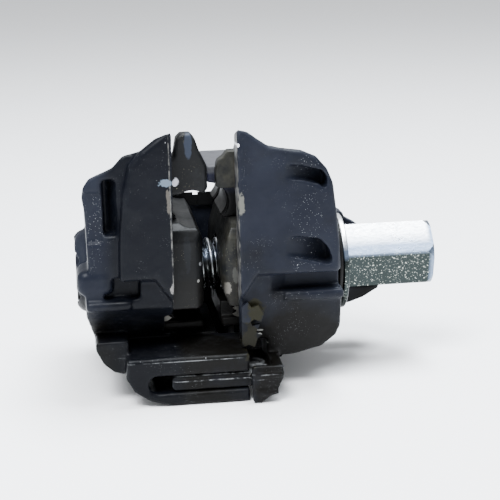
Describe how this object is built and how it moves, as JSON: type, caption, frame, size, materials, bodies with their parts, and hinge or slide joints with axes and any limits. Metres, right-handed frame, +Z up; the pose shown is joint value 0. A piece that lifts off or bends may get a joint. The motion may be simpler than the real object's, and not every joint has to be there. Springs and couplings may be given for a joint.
{
  "type": "insulation piercing connector",
  "caption": "Cable tap clamp with two black nylon jaws on one horizontal bolt, rubber seals, toothed contact blades, a return spring and a long shear nut.",
  "frame": {"origin": "middle of the connector's footprint, on the surface it stands on", "axes": "+X along the clamp bolt from its head to the nut, +Y along the cables, +Z up"},
  "size_m": [0.0746, 0.0472, 0.0538],
  "materials": {
    "black_nylon": "glass filled, slightly glossy, dusty",
    "rubber_seal": "matt with a soft sheen",
    "contact_metal": "tinned, dull",
    "zinc_steel": "bright zinc plate",
    "spring_wire": "zinc plated wire"
  },
  "bodies": {
    "head_side": {"head_side_jaw": "black_nylon", "head_upper_seal": "rubber_seal", "head_middle_seal": "rubber_seal", "head_lower_seal": "rubber_seal", "head_main_boot": "rubber_seal", "head_tap_boot": "rubber_seal", "head_rear_seal": "rubber_seal", "head_front_blade": "contact_metal", "head_rear_blade": "contact_metal", "clamp_bolt": "zinc_steel", "tap_end_cap": "black_nylon", "return_spring": "spring_wire"},
    "nut_side": {"nut_side_jaw": "black_nylon", "nut_upper_seal": "rubber_seal", "nut_middle_seal": "rubber_seal", "nut_lower_seal": "rubber_seal", "nut_main_boot": "rubber_seal", "nut_rear_seal": "rubber_seal", "nut_front_blade": "contact_metal", "nut_rear_blade": "contact_metal", "bolt_seal_ring": "rubber_seal"},
    "washer": {"flat_washer": "zinc_steel"},
    "nut": {"shear_nut": "zinc_steel"}
  },
  "joints": [
    {"name": "jaw_close", "type": "slide", "parent": "head_side", "child": "nut_side", "axis": [-1, 0, 0], "range_m": [-0.004, 0.0032], "deforming": ["return_spring"]},
    {"name": "nut_turn", "type": "hinge", "parent": "nut_side", "child": "nut", "pos_m": [0.02657, 0.00245, 0.0222], "axis": [-1, 0, 0], "range_deg": [-1152, 921.6]},
    {"name": "washer_spin", "type": "hinge", "parent": "nut_side", "child": "washer", "pos_m": [0.01797, 0.00245, 0.0213], "axis": [-1, 0, 0], "continuous": true}
  ],
  "couplings": [
    {"joint": "jaw_close", "follows": "nut_turn", "m_per_rad": 0.00019894}
  ]
}
